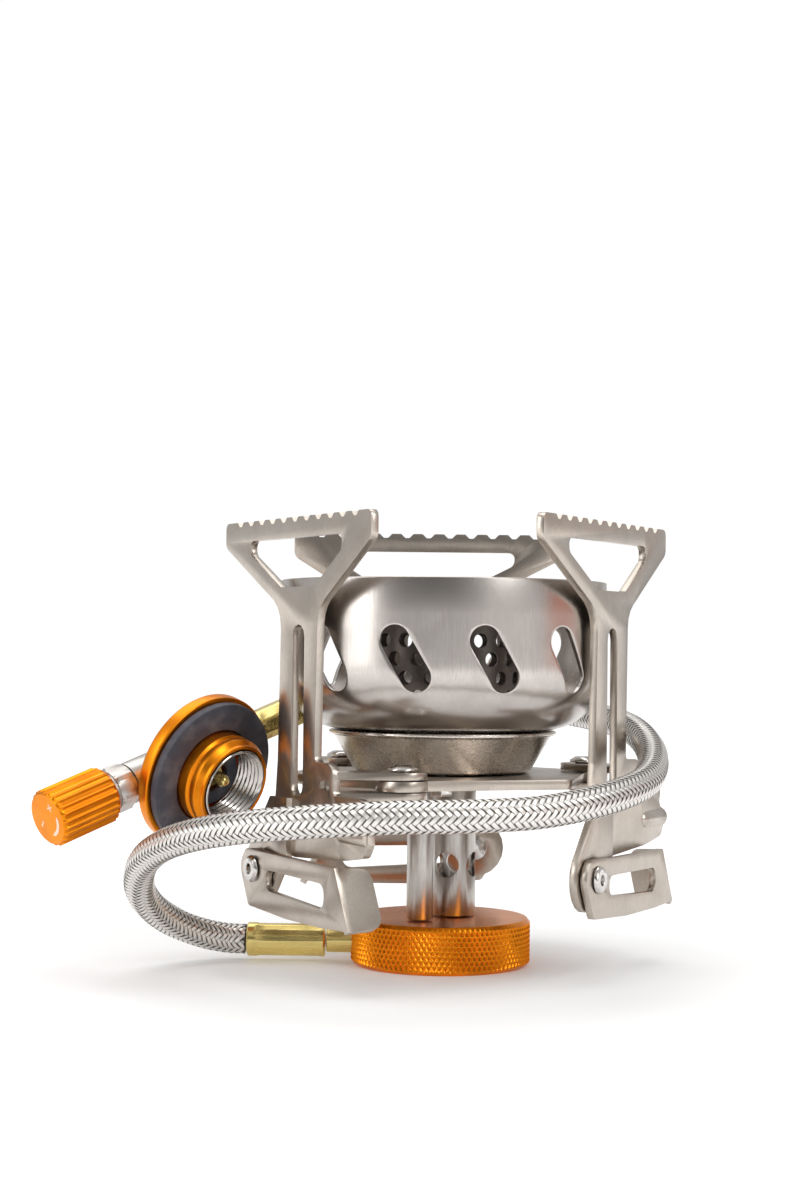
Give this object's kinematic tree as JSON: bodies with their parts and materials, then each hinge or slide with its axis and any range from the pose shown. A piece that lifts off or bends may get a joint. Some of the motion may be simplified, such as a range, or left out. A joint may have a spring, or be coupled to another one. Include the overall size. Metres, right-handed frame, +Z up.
{
  "type": "folding hose gas stove",
  "caption": "Folding hose-fed gas stove: burner bowl on a base disc, swinging pot supports with folding feet, braided hose and canister valve with knob.",
  "frame": {"origin": "middle of the base disc's flat underside", "axes": "+Z up; -Y towards the side where the hose crosses in front; the gas inlet points along -X"},
  "size_m": [0.1391, 0.1234, 0.098],
  "materials": {
    "brushed_steel": "brushed stainless steel",
    "nickel": "bright nickel plating",
    "orange_anodised": "orange anodised aluminium",
    "brass": "satin brass",
    "rubber": "dark rubber",
    "hose_braid": "stainless braid over a rubber hose",
    "dark_steel": "dark steel"
  },
  "bodies": {
    "stove": {"base_disc": "orange_anodised", "gas_jet": "brass", "mixing_tube": "brushed_steel", "support_post": "nickel", "hub_plate": "brushed_steel", "burner_dish": "brushed_steel", "hub_screw_1": "brushed_steel", "hub_screw_2": "brushed_steel", "hub_screw_3": "brushed_steel", "windshield_bowl": "brushed_steel", "burner_head": "brushed_steel", "burner_cap": "brushed_steel", "inlet_neck": "brass", "inlet_ferrule": "brass", "valve_ferrule": "brass", "valve_body": "nickel", "gland_nut": "nickel", "valve_flange": "orange_anodised", "flange_gasket": "rubber", "threaded_insert": "nickel", "inner_seal": "rubber", "opening_pin": "brass", "braided_hose": "hose_braid", "pivot_rivet_rear": "nickel", "pivot_rivet_left": "nickel", "pivot_rivet_right": "nickel"},
    "knob": {"control_knob": "orange_anodised", "valve_spindle": "dark_steel"},
    "leg_rear_body": {"leg_rear": "brushed_steel", "foot_rivet_rear": "nickel"},
    "foot_rear_body": {"foot_rear": "brushed_steel"},
    "leg_left_body": {"leg_left": "brushed_steel", "foot_rivet_left": "nickel"},
    "foot_left_body": {"foot_left": "brushed_steel"},
    "leg_right_body": {"leg_right": "brushed_steel", "foot_rivet_right": "nickel"},
    "foot_right_body": {"foot_right": "brushed_steel"}
  },
  "joints": [
    {"name": "leg_rear_swing", "type": "hinge", "parent": "stove", "child": "leg_rear_body", "pos_m": [-0.0241, 0.02327, 0.0416], "axis": [0, 0, 1], "range_deg": [0, 120], "deforming": ["braided_hose"]},
    {"name": "foot_rear_fold", "type": "hinge", "parent": "leg_rear_body", "child": "foot_rear_body", "pos_m": [0.0079, 0.04183, 0.022], "axis": [0.0384, -0.9993, 0], "range_deg": [0, 116]},
    {"name": "leg_left_swing", "type": "hinge", "parent": "stove", "child": "leg_left_body", "pos_m": [-0.0081, -0.0325, 0.0416], "axis": [0, 0, 1], "range_deg": [0, 120], "deforming": ["braided_hose"]},
    {"name": "foot_left_fold", "type": "hinge", "parent": "leg_left_body", "child": "foot_left_body", "pos_m": [-0.04018, -0.01408, 0.022], "axis": [0.8462, 0.5329, 0], "range_deg": [0, 116]},
    {"name": "leg_right_swing", "type": "hinge", "parent": "stove", "child": "leg_right_body", "pos_m": [0.0322, 0.00923, 0.0416], "axis": [0, 0, 1], "range_deg": [0, 120], "deforming": ["braided_hose"]},
    {"name": "foot_right_fold", "type": "hinge", "parent": "leg_right_body", "child": "foot_right_body", "pos_m": [0.03228, -0.02776, 0.022], "axis": [-0.8846, 0.4664, 0], "range_deg": [0, 116]},
    {"name": "knob_turn", "type": "hinge", "parent": "stove", "child": "knob", "pos_m": [-0.0573, -0.006, 0.0451], "axis": [0.6762, 0.6682, 0.3101], "range_deg": [0, 720]}
  ]
}
